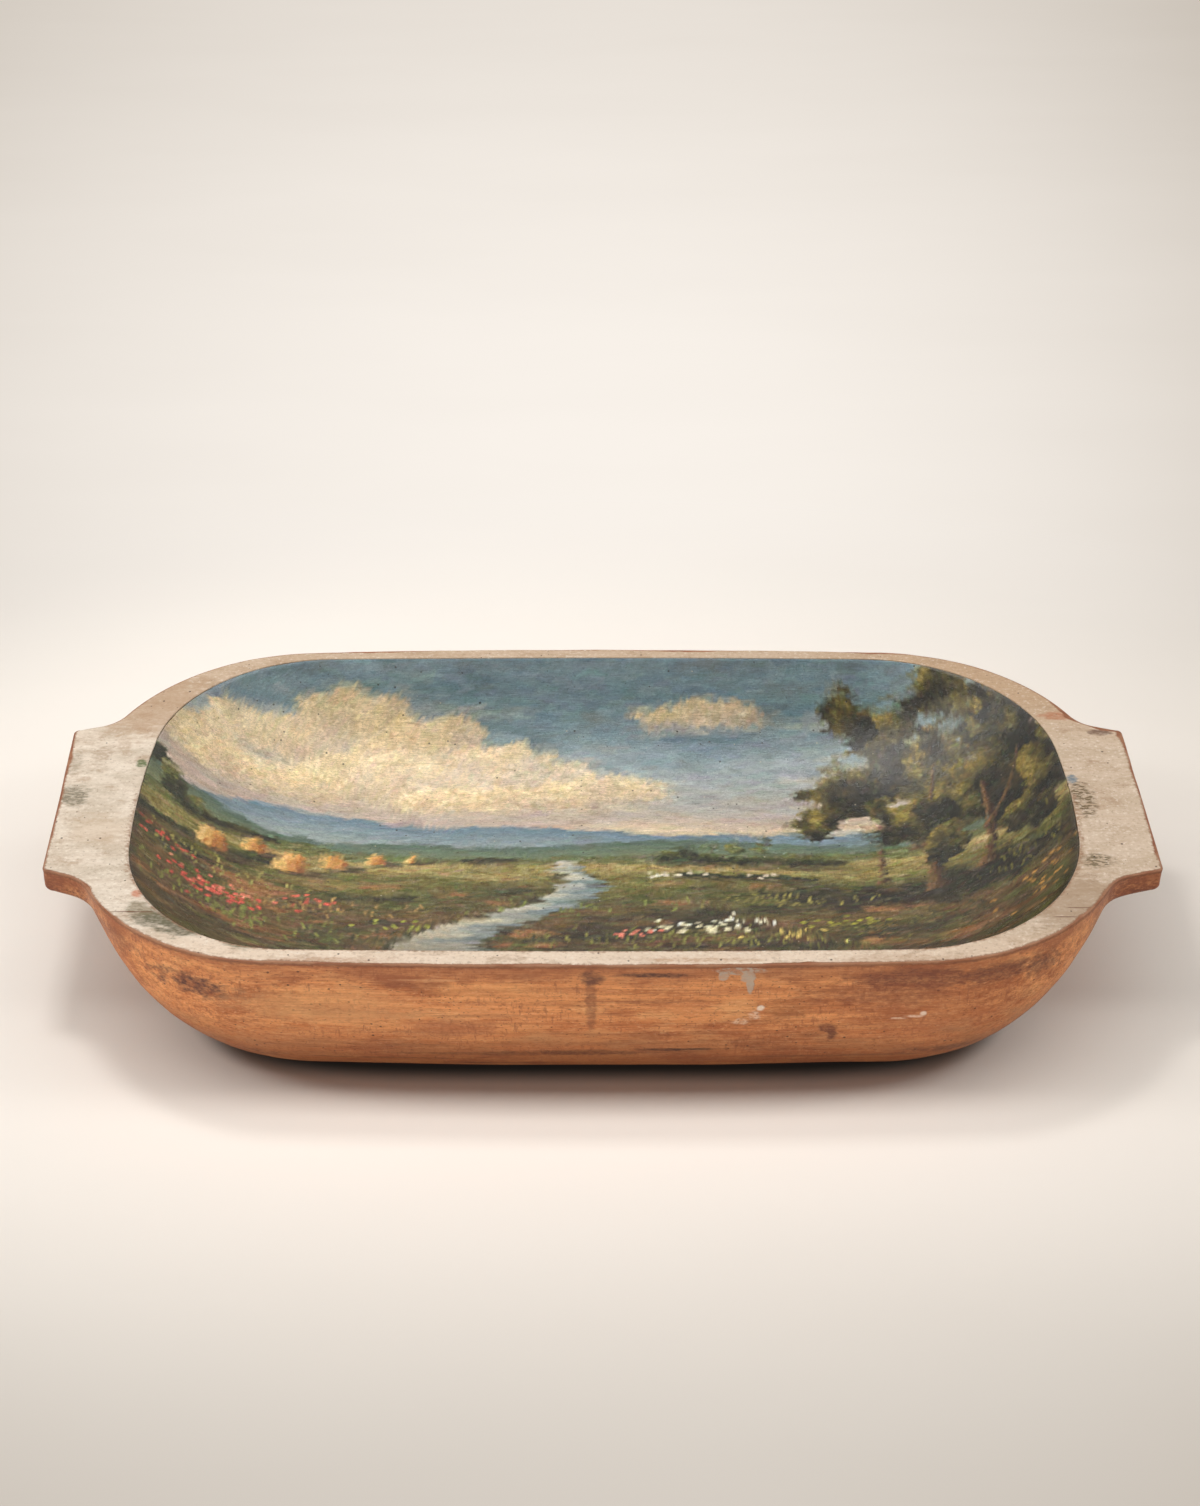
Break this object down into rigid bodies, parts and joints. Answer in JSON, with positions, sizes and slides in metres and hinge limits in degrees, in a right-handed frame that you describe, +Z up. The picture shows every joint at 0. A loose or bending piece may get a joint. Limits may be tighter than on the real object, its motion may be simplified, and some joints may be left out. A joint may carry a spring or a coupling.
{
  "type": "dough bowl",
  "caption": "Oblong carved wooden dough bowl with a flat rim, a lug at each end, sloping hollow and a painted rim and inside.",
  "frame": {"origin": "middle of the bowl on the plane that its foot stands on", "axes": "+X along the bowl to its right lug, +Y across the bowl to its rear side, +Z up, out of the hollow"},
  "size_m": [0.707, 0.349, 0.1004],
  "materials": {
    "wood": "worn, dry, hand-rubbed",
    "grey_paint": "matt oil paint, worn",
    "picture": "oil paint under a thin satin varnish"
  },
  "bodies": {
    "root": {"bowl_body": "wood", "rim_paint": "grey_paint", "picture_paint": "picture"}
  },
  "joints": []
}
